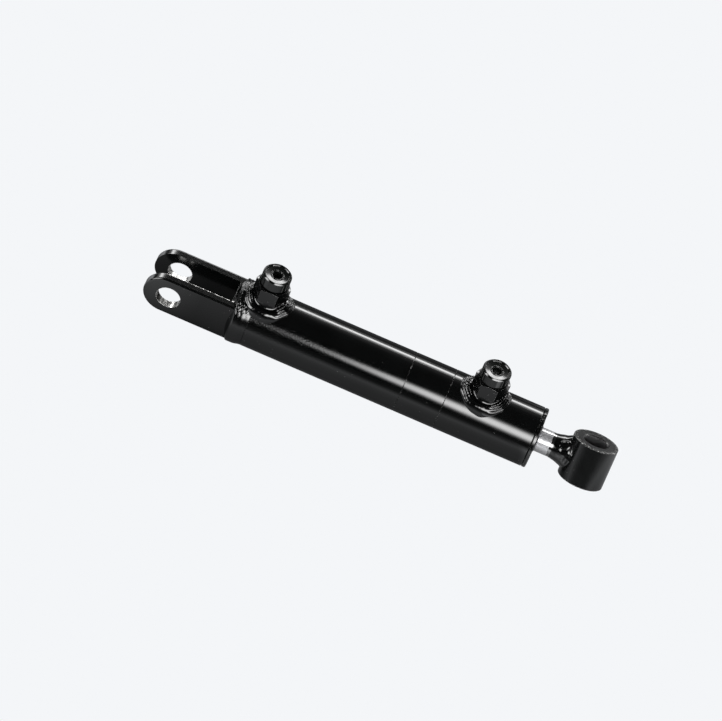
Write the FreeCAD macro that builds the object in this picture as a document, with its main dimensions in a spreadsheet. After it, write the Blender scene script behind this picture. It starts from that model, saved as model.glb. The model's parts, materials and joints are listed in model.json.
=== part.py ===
import FreeCAD, Part
import os
import Sketcher

# Welded double-acting hydraulic cylinder, millimetres.
# Origin: centre of the clevis pin bore.  +X runs along the barrel to the rod eye,
# +Y is the clevis pin axis and +Z points the way the two ports point.
# The rod is drawn fully retracted.

V = FreeCAD.Vector
Rotation = FreeCAD.Rotation
AXIS_X = V(1, 0, 0)
AXIS_Y = V(0, 1, 0)

# Driving dimensions, one spreadsheet row each: alias -> plain number.
# Names ending in _rad are radii; names ending in _x are places along the barrel,
# and names ending in _up are heights above the barrel's centre line.
DIMENSIONS = {
    # clevis yoke, cut from a nearly square bar
    "yoke_tall": 44.45,
    "yoke_wide": 47.6,
    "ear_thick": 8.72,
    "pin_rad": 12.7,
    "tip_rad": 22.225,
    "tip_centre": 4.7,
    "slot_floor_x": 60.3,
    "yoke_end_x": 68.0,
    "ear_edge_round": 2.2,
    # barrel
    "bore_rad": 25.4,
    "barrel_rad": 31.75,
    "tube_start_x": 83.0,
    "tube_end_x": 389.5,
    "seam_chamfer": 0.8,
    "score_one_x": 250.1,
    "score_two_x": 293.3,
    "score_width": 0.9,
    "score_depth": 0.4,
    # base cap and its girth weld
    "cap_rad": 28.6,
    "cap_face_x": 85.5,
    "weld_toe_x": 62.0,
    "weld_toe_rad": 22.3,
    "weld_crown_rad": 33.4,
    # ports
    "port_base_x": 92.15,
    "port_rod_x": 329.6,
    "port_way_rad": 6.35,
    "port_thread_rad": 10.4,
    "port_thread_up": 38.0,
    "neck_rad": 14.0,
    "hex_flats": 31.75,
    "hex_foot_up": 37.8,
    "hex_top_up": 54.0,
    "hex_bevel": 1.5,
    "hex_corner_rad": 18.4,
    "hex_crown_rad": 15.7,
    "seat_rad": 12.7,
    "seat_depth": 2.4,
    "bead_rad": 24.5,
    "bead_height": 4.2,
    # port plugs
    "plug_rad": 14.9,
    "plug_foot_up": 54.2,
    "plug_top_up": 66.5,
    "plug_lift_base": 1.2,
    "plug_lift_rod": 0.0,
    "plug_thread_end_up": 40.0,
    "rim_bevel": 1.5,
    "rim_bevel_in": 1.2,
    "rim_crest_rad": 13.5,
    "rim_fall": 0.155,
    "dish_rad": 12.2,
    "dish_wall_rad": 11.6,
    "dish_wall_depth": 1.2,
    "dish_depth": 1.95,
    "hub_rad": 6.6,
    "hub_depth": 1.3,
    "countersink_rad": 5.4,
    "socket_flats": 9.5,
    "socket_depth": 8.0,
    # gland head
    "nose_x": 326.5,
    "nose_rad": 20.0,
    "gland_body_x": 340.0,
    "gland_face_x": 393.6,
    "gland_gap": 0.1,
    "gland_bore_gap": 0.3,
    "spanner_width": 8.0,
    "spanner_depth": 3.5,
    "guide_start_x": 343.0,
    "guide_end_x": 355.0,
    "guide_thick": 2.4,
    "cup_start_x": 362.0,
    "cup_end_x": 370.0,
    "cup_depth": 4.7,
    "wiper_start_x": 385.0,
    "static_start_x": 349.0,
    "static_end_x": 355.0,
    "static_depth": 2.75,
    "static_ring_thick": 2.7,
    "backup_thick": 1.6,
    # rod, piston and nut
    "rod_rad": 12.7,
    "spigot_rad": 9.525,
    "rod_tail_x": 86.4,
    "nut_x": 86.8,
    "nut_end_x": 97.4,
    "nut_flats": 28.6,
    "piston_x": 97.5,
    "piston_end_x": 122.9,
    "piston_gap": 0.3,
    "seal_x": 104.0,
    "seal_end_x": 109.0,
    "seal_depth": 4.7,
    "cap_seal_thick": 2.1,
    "wear_x": 112.0,
    "wear_end_x": 119.0,
    "wear_depth": 2.3,
    "inner_ring_x": 101.5,
    "inner_ring_thick": 1.9,
    "tail_chamfer": 1.2,
    "running_gap": 0.07,
    "side_gap": 0.15,
    # rod eye
    "eye_x": 449.1,
    "eye_rad": 23.8,
    "eye_length": 44.45,
    "eye_chamfer": 1.6,
    "eye_edge": 0.5,
    "eye_turn": 24.0,
    "fillet_start_x": 411.5,
    "fillet_wide": 21.6,
    "fillet_tall": 17.6,
}

doc = FreeCAD.newDocument("hydraulic_cylinder")
sheet = doc.addObject("Spreadsheet::Sheet", "Dims")
for row, (alias, number) in enumerate(DIMENSIONS.items(), start=1):
    sheet.set(f"A{row}", alias)
    sheet.set(f"B{row}", str(number))
    sheet.setAlias(f"B{row}", alias)
doc.recompute()

NODES = []


def size(formula):
    """The number that a formula of @aliases comes to."""
    return float(sheet.evalExpression(formula.replace("@", "Dims.")))


def bind(owner, field, formula):
    """Bind a property to a formula; each sheet alias in it is written with an @."""
    owner.setExpression(field, formula.replace("@", "Dims."))


def node(piece, name):
    """Label a sub-part and add it to the pieces that are written."""
    piece.Label = name
    NODES.append(piece)
    return piece


# ---- sketches and PartDesign features ----

def new_sketch(body, name, role):
    """A sketch lying on one of the body's own origin planes."""
    plane = next(item for item in body.Origin.OriginFeatures if item.Role == role)
    sketch = body.newObject("Sketcher::SketchObject", name)
    sketch.AttachmentSupport = [(plane, "")]
    sketch.MapMode = "FlatFace"
    return sketch


def place_point(sketch, geometry, point, along, across):
    """Hold a sketch point at two formulas, measured from the sketch's origin."""
    for kind, formula in (("DistanceX", along), ("DistanceY", across)):
        dimension = Sketcher.Constraint(kind, -1, 1, geometry, point, size(formula))
        index = sketch.addConstraint(dimension)
        bind(sketch, f"Constraints[{index}]", formula)


def draw_outline(sketch, corners):
    """A closed outline of straight lines; each corner is a pair of formulas."""
    points = [V(size(along), size(across), 0) for along, across in corners]
    following = points[1:] + points[:1]
    lines = [Part.LineSegment(start, end) for start, end in zip(points, following)]
    numbers = sketch.addGeometry(lines, False)
    for number, (along, across) in zip(numbers, corners):
        before = numbers[number - 1]
        sketch.addConstraint(Sketcher.Constraint("Coincident", before, 2, number, 1))
        place_point(sketch, number, 1, along, across)


def draw_circle(sketch, along, across, radius):
    """A circle; its centre and radius are formulas."""
    centre = V(size(along), size(across), 0)
    number = sketch.addGeometry(Part.Circle(centre, V(0, 0, 1), size(radius)), False)
    place_point(sketch, number, 3, along, across)
    index = sketch.addConstraint(Sketcher.Constraint("Radius", number, size(radius)))
    bind(sketch, f"Constraints[{index}]", radius)


def turned(name, corners, axis):
    """A body turned about its H_Axis or V_Axis from an outline on its XZ plane."""
    body = doc.addObject("PartDesign::Body", name)
    sketch = new_sketch(body, name + "_outline", "XZ_Plane")
    draw_outline(sketch, corners)
    turn = body.newObject("PartDesign::Revolution", name + "_turn")
    turn.Profile = sketch
    turn.ReferenceAxis = (sketch, [axis])
    turn.Angle = 360
    sketch.Visibility = False
    body.Tip = turn
    return body


def turned_on_x(name, corners):
    """A body turned about the barrel's centre line, from (place, radius) corners."""
    return turned(name, corners, "H_Axis")


def turned_on_z(name, corners):
    """A body turned about its own Z axis, from (radius, height) corners."""
    return turned(name, corners, "V_Axis")


def square_ring(start, end, inner, outer):
    """The corners of a plain ring's section about the barrel's centre line."""
    return [(start, inner), (end, inner), (end, outer), (start, outer)]


def pocket(body, sketch, length=None, both_ways=False, flip=False):
    """Cut a sketch's shape out of the body, and make sure that it really cut."""
    doc.recompute()
    before = body.Shape.Volume
    feature = body.newObject("PartDesign::Pocket", sketch.Name + "_cut")
    feature.Profile = sketch
    feature.Type = 0 if length else 1
    feature.Midplane = both_ways
    feature.Reversed = flip
    if length:
        bind(feature, "Length", length)
    sketch.Visibility = False
    body.Tip = feature
    doc.recompute()
    if body.Shape.Volume > before - 0.001:
        raise RuntimeError(sketch.Name + " cut nothing")


def round_pocket(body, name, role, along, across, radius, **kind):
    """Cut a round hole."""
    sketch = new_sketch(body, name, role)
    draw_circle(sketch, along, across, radius)
    pocket(body, sketch, **kind)


def square_pocket(body, name, role, low, high, **kind):
    """Cut a rectangle between two corners, each a pair of formulas."""
    sketch = new_sketch(body, name, role)
    corners = [low, (high[0], low[1]), high, (low[0], high[1])]
    draw_outline(sketch, corners)
    pocket(body, sketch, **kind)


# ---- Part primitives and booleans ----

def ring(name, mean_radius, place, section_radius):
    """An O-ring: a torus about the barrel's centre line."""
    torus = doc.addObject("Part::Torus", name)
    bind(torus, "Radius1", mean_radius)
    bind(torus, "Radius2", section_radius)
    torus.Placement = FreeCAD.Placement(V(0, 0, 0), Rotation(AXIS_Y, 90))
    bind(torus, "Placement.Base.x", place)
    return node(torus, name)


def cylinder(name, radius, length, start=("0", "0", "0"), turn=Rotation()):
    """A plain cylinder that starts at a point and runs along its turned Z axis."""
    solid = doc.addObject("Part::Cylinder", name)
    bind(solid, "Radius", radius)
    bind(solid, "Height", length)
    place_primitive(solid, start, turn)
    return solid


def cone(name, foot_radius, top_radius, length, start, turn=Rotation()):
    """A cone that starts at a point and runs along its turned Z axis."""
    solid = doc.addObject("Part::Cone", name)
    bind(solid, "Radius1", foot_radius)
    bind(solid, "Radius2", top_radius)
    bind(solid, "Height", length)
    place_primitive(solid, start, turn)
    return solid


def hexagon(name, flats, length, start, turn=Rotation()):
    """A six-sided bar given by its size across flats."""
    solid = doc.addObject("Part::Prism", name)
    solid.Polygon = 6
    bind(solid, "Circumradius", flats + " / sqrt(3)")
    bind(solid, "Height", length)
    place_primitive(solid, start, turn)
    return solid


def place_primitive(solid, start, turn):
    """Turn a primitive, and bind where it starts."""
    solid.Placement = FreeCAD.Placement(V(0, 0, 0), turn)
    for letter, formula in zip("xyz", start):
        bind(solid, "Placement.Base." + letter, formula)


def boolean(kind, name, first, second):
    """Part::Cut, Part::Fuse or Part::Common of two solids."""
    result = doc.addObject("Part::" + kind, name)
    result.Base = first
    result.Tool = second
    return result


ALONG_X = Rotation(AXIS_Y, 90)


# ---- the barrel's welded pieces ----

def clevis_yoke():
    """Nearly square bar with a rounded end, slotted into two ears and cross-bored for the pin."""
    name = "clevis_yoke"
    body = doc.addObject("PartDesign::Body", name)
    sketch = new_sketch(body, "yoke_side", "XZ_Plane")
    half = size("@yoke_tall / 2")
    centre_x = -size("@tip_centre")
    end_x = size("@yoke_end_x")
    upper, lower = V(centre_x, half, 0), V(centre_x, -half, 0)
    far_upper, far_lower = V(end_x, half, 0), V(end_x, -half, 0)
    tip = Part.Arc(upper, V(centre_x - half, 0, 0), lower)
    lines = [
        Part.LineSegment(lower, far_lower),
        Part.LineSegment(far_lower, far_upper),
        Part.LineSegment(far_upper, upper),
    ]
    numbers = sketch.addGeometry([tip] + lines, False)
    arc, bottom, back, top = numbers
    sketch.addConstraint(Sketcher.Constraint("Coincident", bottom, 2, back, 1))
    sketch.addConstraint(Sketcher.Constraint("Coincident", back, 2, top, 1))
    sketch.addConstraint(Sketcher.Constraint("Tangent", arc, 2, bottom, 1))
    sketch.addConstraint(Sketcher.Constraint("Tangent", top, 2, arc, 1))
    place_point(sketch, arc, 3, "-@tip_centre", "0")
    place_point(sketch, back, 1, "@yoke_end_x", "-@yoke_tall / 2")
    place_point(sketch, back, 2, "@yoke_end_x", "@yoke_tall / 2")
    pad = body.newObject("PartDesign::Pad", "yoke_bar")
    pad.Profile = sketch
    pad.Midplane = True
    bind(pad, "Length", "@yoke_wide")
    sketch.Visibility = False
    body.Tip = pad
    doc.recompute()
    softened = body.newObject("PartDesign::Fillet", "yoke_edges")
    softened.Base = (pad, long_edges(pad.Shape, size("@yoke_wide / 2"), end_x))
    bind(softened, "Radius", "@ear_edge_round")
    body.Tip = softened
    gap_half = "@yoke_wide / 2 - @ear_thick"
    square_pocket(body, "yoke_slot", "XY_Plane",
                  ("-@tip_rad - @tip_centre - 5", "-(" + gap_half + ")"),
                  ("@slot_floor_x", gap_half), both_ways=True)
    round_pocket(body, "yoke_pin_bore", "XZ_Plane", "0", "0", "@pin_rad", both_ways=True)
    return node(body, name)


def long_edges(shape, half_wide, end_x):
    """The names of the bar's side-face edges, all but those of its welded back face."""
    names = []
    for number, edge in enumerate(shape.Edges, start=1):
        box = edge.BoundBox
        on_side = box.YLength < 0.01 and abs(abs(box.YMin) - half_wide) < 0.01
        on_back = box.XMin > end_x - 0.01
        if on_side and not on_back:
            names.append(f"Edge{number}")
    return names


def barrel_tube():
    """Honed tube, with two scored lines round it and a way in under each port."""
    seam = "@seam_chamfer"
    outer = "@barrel_rad"
    scored = "@barrel_rad - @score_depth"
    corners = [("@tube_start_x", "@bore_rad"), ("@tube_start_x", outer + " - " + seam),
               ("@tube_start_x + " + seam, outer)]
    for line in ("@score_one_x", "@score_two_x"):
        corners.append((line + " - @score_width / 2", outer))
        corners.append((line, scored))
        corners.append((line + " + @score_width / 2", outer))
    corners += [("@tube_end_x - " + seam, outer), ("@tube_end_x", outer + " - " + seam),
                ("@tube_end_x", "@bore_rad")]
    body = turned_on_x("barrel_tube", corners)
    for port in ("base", "rod"):
        round_pocket(body, port + "_port_way", "XY_Plane", f"@port_{port}_x", "0",
                     "@port_way_rad", length="@barrel_rad + 5", flip=True)
    return node(body, "barrel_tube")


def base_cap():
    """Solid cap that closes the tube's clevis end, with a spigot inside the bore."""
    corners = [("@yoke_end_x", "0"), ("@yoke_end_x", "@cap_rad"),
               ("@tube_start_x", "@cap_rad"), ("@tube_start_x", "@bore_rad - @gland_gap"),
               ("@cap_face_x - @seam_chamfer", "@bore_rad - @gland_gap"),
               ("@cap_face_x", "@bore_rad - @gland_gap - @seam_chamfer"),
               ("@cap_face_x", "0")]
    return node(turned_on_x("base_cap", corners), "base_cap")


def base_weld():
    """Girth weld that blends the square yoke into the round tube over the base cap."""
    inside_bar = "@yoke_tall / 2 - 2"
    corners = [("@weld_toe_x", inside_bar), ("@weld_toe_x", "@weld_toe_rad"),
               ("@yoke_end_x - 0.5", "@weld_crown_rad - 0.8"),
               ("@yoke_end_x + 2", "@weld_crown_rad"),
               ("@tube_start_x - 6", "@weld_crown_rad"),
               ("@tube_start_x", "@barrel_rad"), ("@tube_start_x", "@cap_rad"),
               ("@yoke_end_x", "@cap_rad"), ("@yoke_end_x", inside_bar)]
    body = turned_on_x("base_weld_bead", corners)
    wide, tall = "@yoke_wide / 2", "@yoke_tall / 2"
    square_pocket(body, "yoke_seat", "YZ_Plane", ("-" + wide, "-" + tall), (wide, tall),
                  length="@yoke_end_x", flip=True)
    neck = cylinder("base_weld_neck", "@neck_rad", "@barrel_rad * 2", port_place("base"))
    return node(boolean("Cut", "base_weld", body, neck), "base_weld")


# ---- the two ports, built alike ----

def port_place(port, up="0"):
    """Where a port's axis stands, as a starting point for primitives."""
    return (f"@port_{port}_x", "0", up)


def port_boss(port):
    """Hexagonal port boss with a round neck saddled on the tube, bored and seated."""
    name = port + "_port_boss"
    bar = hexagon(name + "_bar", "@hex_flats", "@hex_top_up - @hex_foot_up",
                  port_place(port, "@hex_foot_up"))
    stock = cylinder(name + "_stock", "@hex_corner_rad", "@hex_top_up - @hex_bevel - @hex_foot_up",
                     port_place(port, "@hex_foot_up"))
    bevel = cone(name + "_bevel", "@hex_corner_rad", "@hex_crown_rad", "@hex_bevel",
                 port_place(port, "@hex_top_up - @hex_bevel"))
    nut = boolean("Common", name + "_nut", bar, boolean("Fuse", name + "_round", stock, bevel))
    neck = cylinder(name + "_neck", "@neck_rad", "@hex_foot_up - 10", port_place(port, "10"))
    solid = boolean("Fuse", name + "_solid", nut, neck)
    drum = cylinder(name + "_drum", "@barrel_rad", "@bead_rad * 2",
                    (f"@port_{port}_x - @bead_rad", "0", "0"), ALONG_X)
    saddled = boolean("Cut", name + "_saddled", solid, drum)
    way = cylinder(name + "_way", "@port_way_rad", "@hex_top_up", port_place(port, "1"))
    thread = cylinder(name + "_thread", "@port_thread_rad", "@hex_top_up",
                      port_place(port, "@port_thread_up"))
    seat = cylinder(name + "_seat", "@seat_rad", "@seat_depth + 1",
                    port_place(port, "@hex_top_up - @seat_depth"))
    bores = boolean("Fuse", name + "_bores", boolean("Fuse", name + "_bore", way, thread), seat)
    return node(boolean("Cut", name, saddled, bores), name)


def port_weld(port, girth_weld):
    """Fillet weld round a port's neck, following the curve of the tube up to the girth weld."""
    name = port + "_port_weld"
    low = (f"@port_{port}_x - @bead_rad - 5", "0", "0")
    crown = cylinder(name + "_crown", "@barrel_rad + @bead_height", "@bead_rad * 2 + 10",
                     low, ALONG_X)
    column = cylinder(name + "_column", "@bead_rad", "@barrel_rad * 2", port_place(port))
    blank = boolean("Common", name + "_blank", crown, column)
    drum = cylinder(name + "_drum", "@barrel_rad", "@bead_rad * 2 + 10", low, ALONG_X)
    bead = boolean("Cut", name + "_bead", blank, drum)
    neck = cylinder(name + "_neck", "@neck_rad", "@barrel_rad * 2", port_place(port))
    collar = boolean("Cut", name + "_collar", bead, neck)
    return node(boolean("Cut", name, collar, girth_weld), name)


def port_plug(port):
    """Round-headed port plug with a dished face, a raised hub and a hexagonal key hole."""
    name = port + "_port_plug"
    lift = f"@plug_lift_{port}"
    foot = "@plug_foot_up + " + lift
    top = "@plug_top_up + " + lift
    hub_top = top + " - @hub_depth"
    corners = [("0", "@plug_thread_end_up"), ("@port_thread_rad - 1.2", "@plug_thread_end_up"),
               ("@port_thread_rad - 0.1", "@plug_thread_end_up + 1.1"),
               ("@port_thread_rad - 0.1", foot), ("@plug_rad - 0.6", foot),
               ("@plug_rad", foot + " + 0.6"), ("@plug_rad", top + " - @rim_bevel"),
               ("@plug_rad - @rim_bevel_in", top + " - 0.05"), ("@rim_crest_rad", top),
               ("@dish_rad", top + " - @rim_fall"), ("@dish_wall_rad", top + " - @dish_wall_depth"),
               ("@hub_rad + 0.4", top + " - @dish_depth"), ("@hub_rad", hub_top),
               ("@countersink_rad + 0.7", hub_top), ("@countersink_rad", hub_top + " - 0.7"),
               ("0", hub_top + " - 0.7")]
    body = turned_on_z(name + "_body", corners)
    bind(body, "Placement.Base.x", f"@port_{port}_x")
    key = hexagon(name + "_key", "@socket_flats", "@socket_depth + 5",
                  port_place(port, hub_top + " - @socket_depth"))
    return node(boolean("Cut", name, body, key), name)


def port_seal(port):
    """O-ring squeezed between a plug's head and its boss."""
    name = port + "_port_seal"
    torus = doc.addObject("Part::Torus", name)
    bind(torus, "Radius1", "(@seat_rad + @port_thread_rad) / 2")
    bind(torus, "Radius2", "(@seat_rad - @port_thread_rad) / 2")
    place_primitive(torus, port_place(port, "@hex_top_up - @seat_depth / 2"), Rotation())
    return node(torus, name)


# ---- the gland and its seals ----

def gland_head():
    """Screwed-in head that guides the rod, grooved inside and out for its seals."""
    bore = "@rod_rad + @gland_bore_gap"
    outer = "@bore_rad - @gland_gap"
    flange = "@barrel_rad"
    seam = "@seam_chamfer"
    guide = "@rod_rad + @guide_thick + @running_gap"
    cup = "@rod_rad + @cup_depth"
    static = "@bore_rad - @static_depth"
    corners = [("@nose_x", bore), ("@guide_start_x", bore), ("@guide_start_x", guide),
               ("@guide_end_x", guide), ("@guide_end_x", bore), ("@cup_start_x", bore),
               ("@cup_start_x", cup), ("@cup_end_x", cup), ("@cup_end_x", bore),
               ("@wiper_start_x", bore), ("@wiper_start_x", cup), ("@gland_face_x", cup),
               ("@gland_face_x", flange + " - " + seam), ("@gland_face_x - " + seam, flange),
               ("@tube_end_x + " + seam, flange), ("@tube_end_x", flange + " - " + seam),
               ("@tube_end_x", outer), ("@static_end_x", outer), ("@static_end_x", static),
               ("@static_start_x", static), ("@static_start_x", outer),
               ("@gland_body_x", outer), ("@gland_body_x", "@nose_rad"),
               ("@nose_x", "@nose_rad")]
    body = turned_on_x("gland_head", corners)
    for side, low, high in (("top", "@barrel_rad - @spanner_depth", "@barrel_rad + 5"),
                            ("bottom", "-@barrel_rad - 5", "-@barrel_rad + @spanner_depth")):
        square_pocket(body, "spanner_slot_" + side, "XZ_Plane", ("@tube_end_x", low),
                      ("@gland_face_x + 5", high), length="@spanner_width", both_ways=True)
    return node(body, "gland_head")


def gland_seals():
    """Static O-ring and backup ring outside the gland; guide, U-cup and wiper inside it."""
    seat = "@bore_rad - @static_depth"
    ring("gland_o_ring", seat + " + @static_ring_thick / 2",
         "@static_start_x + @static_ring_thick / 2 + @side_gap", "@static_ring_thick / 2 - 0.02")
    backup = square_ring("@static_end_x - @backup_thick - @side_gap", "@static_end_x - @side_gap",
                         seat, "@bore_rad")
    node(turned_on_x("gland_backup_ring", backup), "gland_backup_ring")
    inner = "@rod_rad + @running_gap"
    guide = square_ring("@guide_start_x + @side_gap", "@guide_end_x - @side_gap", inner,
                        "@rod_rad + @guide_thick + @running_gap")
    node(turned_on_x("rod_guide_ring", guide), "rod_guide_ring")
    outer = "@rod_rad + @cup_depth"
    middle = "@rod_rad + @cup_depth / 2"
    cup = [("@cup_start_x + @side_gap", inner), ("@cup_end_x - @side_gap", inner),
           ("@cup_end_x - @side_gap", outer), ("@cup_start_x + @side_gap", outer),
           ("@cup_start_x + @side_gap", outer + " - 1.2"), ("@cup_start_x + 4", middle),
           ("@cup_start_x + @side_gap", inner + " + 1.2")]
    node(turned_on_x("rod_u_cup", cup), "rod_u_cup")
    lip = "@gland_face_x + 1.4"
    wiper = [("@wiper_start_x + @side_gap", inner + " + 1.2"), ("@gland_face_x - 2", inner + " + 1.2"),
             (lip, inner), (lip, inner + " + 0.5"), ("@gland_face_x - 0.3", outer + " - 1.2"),
             ("@gland_face_x - 0.3", outer), ("@wiper_start_x + @side_gap", outer)]
    node(turned_on_x("rod_wiper", wiper), "rod_wiper")


# ---- what moves ----

def piston_rod():
    """Chromed rod with a stepped tail for the piston and a saddled end for the eye."""
    chamfer = "@tail_chamfer"
    corners = [("@rod_tail_x", "0"), ("@rod_tail_x", "@spigot_rad - " + chamfer),
               ("@rod_tail_x + " + chamfer, "@spigot_rad"), ("@piston_end_x", "@spigot_rad"),
               ("@piston_end_x", "@rod_rad - 0.8"), ("@piston_end_x + 0.8", "@rod_rad"),
               ("@eye_x", "@rod_rad"), ("@eye_x", "0")]
    body = turned_on_x("piston_rod_bar", corners)
    eye_round = eye_cylinder("rod_saddle", "@eye_rad")
    return node(boolean("Cut", "piston_rod", body, eye_round), "piston_rod")


def eye_turn():
    """The eye's axis leans from +Z towards +Y, because the rod has turned in the barrel."""
    return Rotation(AXIS_X, -size("@eye_turn"))


def eye_cylinder(name, radius):
    """A cylinder along the eye's axis, longer than the eye."""
    solid = doc.addObject("Part::Cylinder", name)
    bind(solid, "Radius", radius)
    bind(solid, "Height", "@eye_length * 2")
    middle = V(size("@eye_x"), 0, 0)
    solid.Placement = FreeCAD.Placement(middle + eye_turn().multVec(V(0, 0, -size("@eye_length"))),
                                        eye_turn())
    return solid


def rod_eye():
    """Cross tube with a chamfered pin bore."""
    half = "@eye_length / 2"
    corners = [("@pin_rad", "-" + half + " + @eye_chamfer"), ("@pin_rad + @eye_chamfer", "-" + half),
               ("@eye_rad - @eye_edge", "-" + half), ("@eye_rad", "-" + half + " + @eye_edge"),
               ("@eye_rad", half + " - @eye_edge"), ("@eye_rad - @eye_edge", half),
               ("@pin_rad + @eye_chamfer", half), ("@pin_rad", half + " - @eye_chamfer")]
    body = turned_on_z("rod_eye", corners)
    body.Placement = FreeCAD.Placement(V(0, 0, 0), eye_turn())
    bind(body, "Placement.Base.x", "@eye_x")
    return node(body, "rod_eye")


def eye_weld():
    """Thick fillet weld that flares from the rod on to the cross tube."""
    upright = eye_turn().multiply(Rotation(AXIS_Y, -90))
    reach = "(@eye_x - @fillet_start_x)"
    sections = []
    for number, (share, wide, tall) in enumerate((
            ("0", "@rod_rad + 0.4", "@rod_rad + 0.3"),
            ("0.22", "@rod_rad + 2.0", "@rod_rad + 1.4"),
            ("0.44", "@fillet_wide - 3.0", "@fillet_tall - 2.0"),
            ("0.66", "@fillet_wide", "@fillet_tall"))):
        section = doc.addObject("Part::Ellipse", f"eye_weld_section_{number}")
        bind(section, "MajorRadius", wide)
        bind(section, "MinorRadius", tall)
        place_primitive(section, (f"@fillet_start_x + {reach} * {share}", "0", "0"), upright)
        sections.append(section)
    flare = doc.addObject("Part::Loft", "eye_weld_flare")
    flare.Sections = sections
    flare.Solid = True
    rod = cylinder("eye_weld_rod", "@rod_rad", "@eye_x", turn=ALONG_X)
    sleeve = boolean("Cut", "eye_weld_sleeve", flare, rod)
    fillet = boolean("Cut", "rod_eye_weld", sleeve, eye_cylinder("eye_weld_saddle", "@eye_rad"))
    return node(fillet, "rod_eye_weld")


def piston():
    """Piston with a seal groove, a wear-ring groove and an inner O-ring groove."""
    outer = "@bore_rad - @piston_gap"
    seal = "@bore_rad - @seal_depth"
    wear = "@bore_rad - @wear_depth"
    inner_groove = "@spigot_rad + @inner_ring_thick"
    inner_end = "@inner_ring_x + @inner_ring_thick + 2 * @side_gap"
    corners = [("@piston_x", "@spigot_rad"), ("@piston_x", outer + " - 1"),
               ("@piston_x + 1", outer), ("@seal_x", outer), ("@seal_x", seal),
               ("@seal_end_x", seal), ("@seal_end_x", outer), ("@wear_x", outer),
               ("@wear_x", wear), ("@wear_end_x", wear), ("@wear_end_x", outer),
               ("@piston_end_x - 1", outer), ("@piston_end_x", outer + " - 1"),
               ("@piston_end_x", "@spigot_rad"), (inner_end, "@spigot_rad"),
               (inner_end, inner_groove), ("@inner_ring_x", inner_groove),
               ("@inner_ring_x", "@spigot_rad")]
    node(turned_on_x("piston", corners), "piston")
    ring("piston_inner_o_ring", "@spigot_rad + @inner_ring_thick / 2",
         "@inner_ring_x + @inner_ring_thick / 2 + @side_gap", "@inner_ring_thick / 2")


def piston_rings():
    """Seal, energiser and wear ring, which slide with the piston and needn't turn with it."""
    outer = "@bore_rad - @running_gap"
    cap_inner = "@bore_rad - @cap_seal_thick"
    seal = square_ring("@seal_x + @side_gap", "@seal_end_x - @side_gap", cap_inner, outer)
    node(turned_on_x("piston_seal", seal), "piston_seal")
    floor = "@bore_rad - @seal_depth + @running_gap"
    section = "(@seal_depth - @cap_seal_thick - @running_gap) / 2"
    ring("piston_seal_energiser", floor + " + " + section, "(@seal_x + @seal_end_x) / 2", section)
    wear = square_ring("@wear_x + @side_gap", "@wear_end_x - @side_gap",
                       "@bore_rad - @wear_depth + @running_gap", outer)
    node(turned_on_x("piston_wear_ring", wear), "piston_wear_ring")


def lock_nut():
    """Hexagonal nut that holds the piston on the rod's tail."""
    long_way = "@nut_end_x - @nut_x"
    bar = hexagon("nut_bar", "@nut_flats", long_way, ("@nut_x", "0", "0"), ALONG_X)
    hole = cylinder("nut_hole", "@spigot_rad", long_way + " + 10", ("@nut_x - 5", "0", "0"), ALONG_X)
    return node(boolean("Cut", "lock_nut", bar, hole), "lock_nut")


def check_document():
    """Stop if any object failed, or if a sub-part isn't a valid closed solid."""
    doc.recompute()
    for item in doc.Objects:
        if "Invalid" in item.State or "Error" in item.State:
            raise RuntimeError("failed object: " + item.Name)
    for piece in NODES:
        shape = piece.Shape
        if shape.isNull() or not shape.isValid() or not shape.Solids:
            raise RuntimeError("bad shape: " + piece.Label)


def write_nodes():
    """One STEP file for each sub-part, named by its label."""
    os.makedirs("parts", exist_ok=True)
    for piece in NODES:
        piece.Shape.exportStep(f"parts/{piece.Label}.step")
        box = piece.Shape.BoundBox
        print(f"{piece.Label}: {piece.Shape.Volume:.0f} mm3, x {box.XMin:.1f} to {box.XMax:.1f}")


clevis_yoke()
base_cap()
cap_weld = base_weld()
barrel_tube()
for port_name in ("base", "rod"):
    port_boss(port_name)
    port_weld(port_name, cap_weld)
    port_plug(port_name)
    port_seal(port_name)
gland_head()
gland_seals()
piston_rod()
rod_eye()
eye_weld()
piston()
piston_rings()
lock_nut()
check_document()
write_nodes()
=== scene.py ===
import json
import math

import bpy
from mathutils import Matrix, Vector, noise


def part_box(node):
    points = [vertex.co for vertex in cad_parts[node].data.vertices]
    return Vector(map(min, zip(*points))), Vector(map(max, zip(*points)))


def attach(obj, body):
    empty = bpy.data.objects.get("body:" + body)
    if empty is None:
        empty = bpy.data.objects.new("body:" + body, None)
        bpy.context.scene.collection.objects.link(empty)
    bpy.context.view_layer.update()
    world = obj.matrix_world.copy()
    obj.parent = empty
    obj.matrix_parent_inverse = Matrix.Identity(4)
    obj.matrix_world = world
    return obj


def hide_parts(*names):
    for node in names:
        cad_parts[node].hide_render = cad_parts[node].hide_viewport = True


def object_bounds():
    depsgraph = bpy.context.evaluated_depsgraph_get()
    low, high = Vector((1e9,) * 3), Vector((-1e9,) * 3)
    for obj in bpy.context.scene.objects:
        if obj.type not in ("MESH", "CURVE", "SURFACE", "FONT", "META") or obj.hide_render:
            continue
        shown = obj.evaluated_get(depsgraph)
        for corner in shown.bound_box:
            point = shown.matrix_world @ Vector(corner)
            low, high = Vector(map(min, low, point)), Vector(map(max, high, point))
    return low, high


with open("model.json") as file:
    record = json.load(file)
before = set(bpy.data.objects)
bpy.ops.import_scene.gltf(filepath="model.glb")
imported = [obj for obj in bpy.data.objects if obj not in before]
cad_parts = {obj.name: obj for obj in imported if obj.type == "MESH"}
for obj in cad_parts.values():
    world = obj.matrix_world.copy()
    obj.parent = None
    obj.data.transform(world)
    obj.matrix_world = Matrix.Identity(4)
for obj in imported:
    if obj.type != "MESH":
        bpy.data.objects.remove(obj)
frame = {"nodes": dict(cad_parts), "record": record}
CAD_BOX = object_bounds()
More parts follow.
